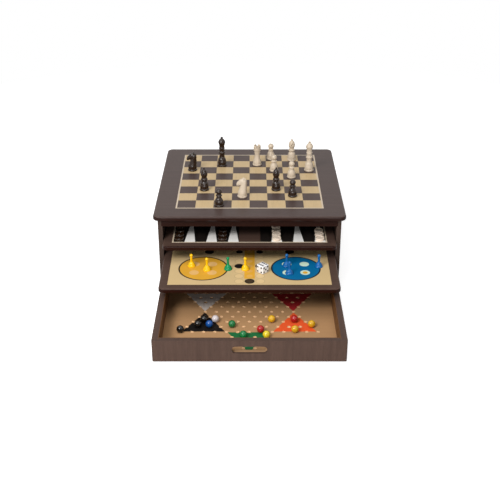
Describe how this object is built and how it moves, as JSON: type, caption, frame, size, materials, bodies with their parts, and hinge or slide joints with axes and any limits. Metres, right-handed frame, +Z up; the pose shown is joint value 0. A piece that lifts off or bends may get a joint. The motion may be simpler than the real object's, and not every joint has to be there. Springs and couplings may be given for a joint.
{
  "type": "games compendium box",
  "caption": "Tabletop games box: chess board lid with pieces over a sliding backgammon tray, a ludo tray and a drawer with a drilled star-halma floor and marbles.",
  "frame": {"origin": "middle of the case's base, on the table", "axes": "+Z up; -Y the way the trays and the drawer open; +X to the right seen from the front"},
  "size_m": [0.3514, 0.595, 0.2085],
  "materials": {
    "dark_veneer": "satin dark brown wood-grain foil on fibreboard",
    "tray_veneer": "satin red-brown lacquered fibreboard",
    "back_board": "plain dark fibreboard",
    "runner_wood": "plain softwood strip",
    "light_veneer": "satin cream wood-grain veneer",
    "black_ground": "satin black print on veneer",
    "dark_points": "satin dark brown print",
    "white_points": "satin white print",
    "playing_sheet": "printed laminated sheet",
    "floor_wood": "clear-lacquered drilled board with printed star points",
    "dark_plastic": "glossy black-brown moulded plastic",
    "ivory_plastic": "glossy ivory moulded plastic",
    "yellow_plastic": "glossy yellow plastic",
    "green_plastic": "glossy green plastic",
    "blue_plastic": "glossy blue plastic",
    "white_plastic": "glossy white plastic",
    "black_plastic": "glossy black plastic",
    "red_plastic": "glossy red plastic"
  },
  "bodies": {
    "case": {"top_board": "dark_veneer", "chess_light_squares": "light_veneer", "chess_dark_squares": "dark_veneer", "chess_border_line": "light_veneer", "left_side": "dark_veneer", "right_side": "dark_veneer", "back_panel": "back_board", "base_panel": "back_board", "front_rail": "dark_veneer", "upper_runners": "runner_wood", "lower_runners": "runner_wood"},
    "backgammon_tray": {"backgammon_tray_board": "tray_veneer", "backgammon_fields": "black_ground", "backgammon_light_points": "white_points", "backgammon_dark_points": "dark_points", "backgammon_border_line": "light_veneer"},
    "light_checkers": {"light_checkers": "ivory_plastic"},
    "dark_checkers": {"dark_checkers": "dark_plastic"},
    "ludo_tray": {"ludo_tray_board": "dark_veneer", "ludo_playing_sheet": "playing_sheet"},
    "yellow_pawns": {"yellow_pawns": "yellow_plastic"},
    "green_pawn": {"green_pawn": "green_plastic"},
    "blue_pawns": {"blue_pawns": "blue_plastic"},
    "die": {"die": "white_plastic"},
    "drawer": {"drawer_front": "dark_veneer", "drawer_left": "dark_veneer", "drawer_right": "dark_veneer", "drawer_back": "dark_veneer", "star_board": "floor_wood"},
    "black_marbles": {"black_marbles": "black_plastic"},
    "blue_marble": {"blue_marble": "blue_plastic"},
    "white_marble": {"white_marble": "white_plastic"},
    "green_marbles": {"green_marbles": "green_plastic"},
    "yellow_marbles": {"yellow_marbles": "yellow_plastic"},
    "red_marbles": {"red_marbles": "red_plastic"},
    "dark_knight": {"dark_knight": "dark_plastic"},
    "dark_king": {"dark_king": "dark_plastic"},
    "dark_bishop_left": {"dark_bishop_left": "dark_plastic"},
    "dark_pawn_left": {"dark_pawn_left": "dark_plastic"},
    "dark_bishop_right": {"dark_bishop_right": "dark_plastic"},
    "dark_pawn_right": {"dark_pawn_right": "dark_plastic"},
    "light_knight": {"light_knight": "ivory_plastic"},
    "light_rook": {"light_rook": "ivory_plastic"},
    "light_pawn_back": {"light_pawn_back": "ivory_plastic"},
    "light_pawn_middle": {"light_pawn_middle": "ivory_plastic"},
    "light_bishop": {"light_bishop": "ivory_plastic"},
    "light_pawn_right": {"light_pawn_right": "ivory_plastic"},
    "light_king": {"light_king": "ivory_plastic"}
  },
  "joints": [
    {"name": "backgammon_tray_slide", "type": "slide", "parent": "case", "child": "backgammon_tray", "axis": [0, 1, 0], "range_m": [-0.131, 0.029]},
    {"name": "ludo_tray_slide", "type": "slide", "parent": "case", "child": "ludo_tray", "axis": [0, -1, 0], "range_m": [-0.1265, 0.0335]},
    {"name": "drawer_slide", "type": "slide", "parent": "case", "child": "drawer", "axis": [0, -1, 0], "range_m": [-0.256, 0.03]},
    {"name": "light_checkers_lift", "type": "slide", "parent": "backgammon_tray", "child": "light_checkers", "axis": [0, 0, 1], "range_m": [0, 0.018]},
    {"name": "dark_checkers_lift", "type": "slide", "parent": "backgammon_tray", "child": "dark_checkers", "axis": [0, 0, 1], "range_m": [0, 0.018]},
    {"name": "yellow_pawns_lift", "type": "slide", "parent": "ludo_tray", "child": "yellow_pawns", "axis": [0, 0, 1], "range_m": [0, 0.015]},
    {"name": "green_pawn_lift", "type": "slide", "parent": "ludo_tray", "child": "green_pawn", "axis": [0, 0, 1], "range_m": [0, 0.015]},
    {"name": "blue_pawns_lift", "type": "slide", "parent": "ludo_tray", "child": "blue_pawns", "axis": [0, 0, 1], "range_m": [0, 0.015]},
    {"name": "die_lift", "type": "slide", "parent": "ludo_tray", "child": "die", "axis": [0, 0, 1], "range_m": [0, 0.015]},
    {"name": "black_marbles_lift", "type": "slide", "parent": "drawer", "child": "black_marbles", "axis": [0, 0, 1], "range_m": [0, 0.02]},
    {"name": "blue_marble_lift", "type": "slide", "parent": "drawer", "child": "blue_marble", "axis": [0, 0, 1], "range_m": [0, 0.02]},
    {"name": "white_marble_lift", "type": "slide", "parent": "drawer", "child": "white_marble", "axis": [0, 0, 1], "range_m": [0, 0.02]},
    {"name": "green_marbles_lift", "type": "slide", "parent": "drawer", "child": "green_marbles", "axis": [0, 0, 1], "range_m": [0, 0.02]},
    {"name": "yellow_marbles_lift", "type": "slide", "parent": "drawer", "child": "yellow_marbles", "axis": [0, 0, 1], "range_m": [0, 0.02]},
    {"name": "red_marbles_lift", "type": "slide", "parent": "drawer", "child": "red_marbles", "axis": [0, 0, 1], "range_m": [0, 0.02]},
    {"name": "dark_knight_lift", "type": "slide", "parent": "case", "child": "dark_knight", "axis": [0, 0, 1], "range_m": [0, 0.04]},
    {"name": "dark_king_lift", "type": "slide", "parent": "case", "child": "dark_king", "axis": [0, 0, 1], "range_m": [0, 0.04]},
    {"name": "dark_bishop_left_lift", "type": "slide", "parent": "case", "child": "dark_bishop_left", "axis": [0, 0, 1], "range_m": [0, 0.04]},
    {"name": "dark_pawn_left_lift", "type": "slide", "parent": "case", "child": "dark_pawn_left", "axis": [0, 0, 1], "range_m": [0, 0.04]},
    {"name": "dark_bishop_right_lift", "type": "slide", "parent": "case", "child": "dark_bishop_right", "axis": [0, 0, 1], "range_m": [0, 0.04]},
    {"name": "dark_pawn_right_lift", "type": "slide", "parent": "case", "child": "dark_pawn_right", "axis": [0, 0, 1], "range_m": [0, 0.04]},
    {"name": "light_knight_lift", "type": "slide", "parent": "case", "child": "light_knight", "axis": [0, 0, 1], "range_m": [0, 0.04]},
    {"name": "light_rook_lift", "type": "slide", "parent": "case", "child": "light_rook", "axis": [0, 0, 1], "range_m": [0, 0.04]},
    {"name": "light_pawn_back_lift", "type": "slide", "parent": "case", "child": "light_pawn_back", "axis": [0, 0, 1], "range_m": [0, 0.04]},
    {"name": "light_pawn_middle_lift", "type": "slide", "parent": "case", "child": "light_pawn_middle", "axis": [0, 0, 1], "range_m": [0, 0.04]},
    {"name": "light_bishop_lift", "type": "slide", "parent": "case", "child": "light_bishop", "axis": [0, 0, 1], "range_m": [0, 0.04]},
    {"name": "light_pawn_right_lift", "type": "slide", "parent": "case", "child": "light_pawn_right", "axis": [0, 0, 1], "range_m": [0, 0.04]},
    {"name": "light_king_lift", "type": "slide", "parent": "case", "child": "light_king", "axis": [0, 0, 1], "range_m": [0, 0.04]}
  ]
}
